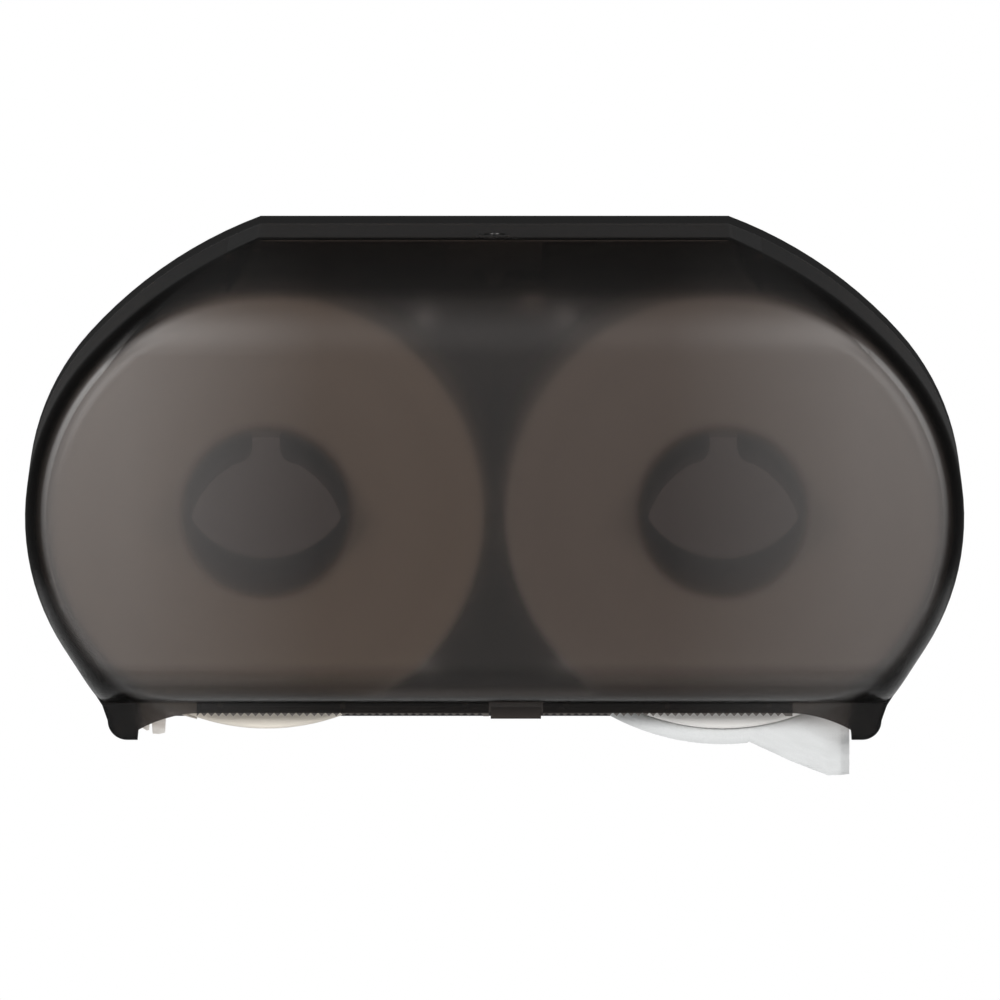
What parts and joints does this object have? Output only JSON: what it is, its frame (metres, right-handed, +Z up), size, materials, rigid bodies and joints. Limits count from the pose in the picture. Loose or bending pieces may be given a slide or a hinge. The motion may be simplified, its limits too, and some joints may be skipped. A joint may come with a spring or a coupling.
{
  "type": "toilet paper dispenser",
  "caption": "Wall dispenser for two jumbo toilet rolls side by side, with a smoked see-through cover that hinges down, a key lock on top and toothed tear bars under the lip.",
  "frame": {"origin": "centre of the wall-screw pattern on the wall plane, level with both roll axes", "axes": "+Y into the wall, so the front faces -Y; +Z up; +X to the right seen from the front"},
  "size_m": [0.485, 0.135, 0.2826],
  "materials": {
    "smoked_plastic": "satin, see-through",
    "black_plastic": "fine grain",
    "grey_plastic": "satin",
    "dark_plastic": "satin",
    "steel": "zinc plated",
    "lock_metal": "satin chrome",
    "tissue": "soft, embossed",
    "board": "raw"
  },
  "bodies": {
    "base": {"back_plate": "black_plastic", "spindle_left": "grey_plastic", "spindle_right": "grey_plastic", "spindle_screws": "steel", "hinge_pin_left": "steel", "hinge_pin_right": "steel", "strike_bracket": "steel", "strike_screws": "steel", "tissue_tail_left": "tissue", "tissue_tail_right": "tissue"},
    "cover": {"front_cover": "smoked_plastic", "tear_bar_left": "dark_plastic", "tear_bar_right": "dark_plastic", "tear_bar_clips": "steel", "lock_housing": "black_plastic", "lock_housing_screws": "steel", "lock_barrel": "lock_metal", "lock_nut": "steel"},
    "lock": {"lock_plug": "lock_metal", "lock_cam": "steel", "cam_screw": "steel"},
    "roll_left": {"tissue_roll_left": "tissue", "core_left": "board"},
    "roll_right": {"tissue_roll_right": "tissue", "core_right": "board"}
  },
  "joints": [
    {"name": "cover_swing", "type": "hinge", "parent": "base", "child": "cover", "pos_m": [0, -0.046, -0.106], "axis": [1, 0, 0], "range_deg": [0, 90]},
    {"name": "lock_turn", "type": "hinge", "parent": "cover", "child": "lock", "pos_m": [0, -0.092, 0.13], "axis": [0, 0, -1], "range_deg": [0, 90]},
    {"name": "roll_left_turn", "type": "hinge", "parent": "base", "child": "roll_left", "pos_m": [-0.118, -0.053, 0], "axis": [0, 1, 0], "continuous": true},
    {"name": "roll_right_turn", "type": "hinge", "parent": "base", "child": "roll_right", "pos_m": [0.118, -0.053, 0], "axis": [0, 1, 0], "continuous": true}
  ]
}
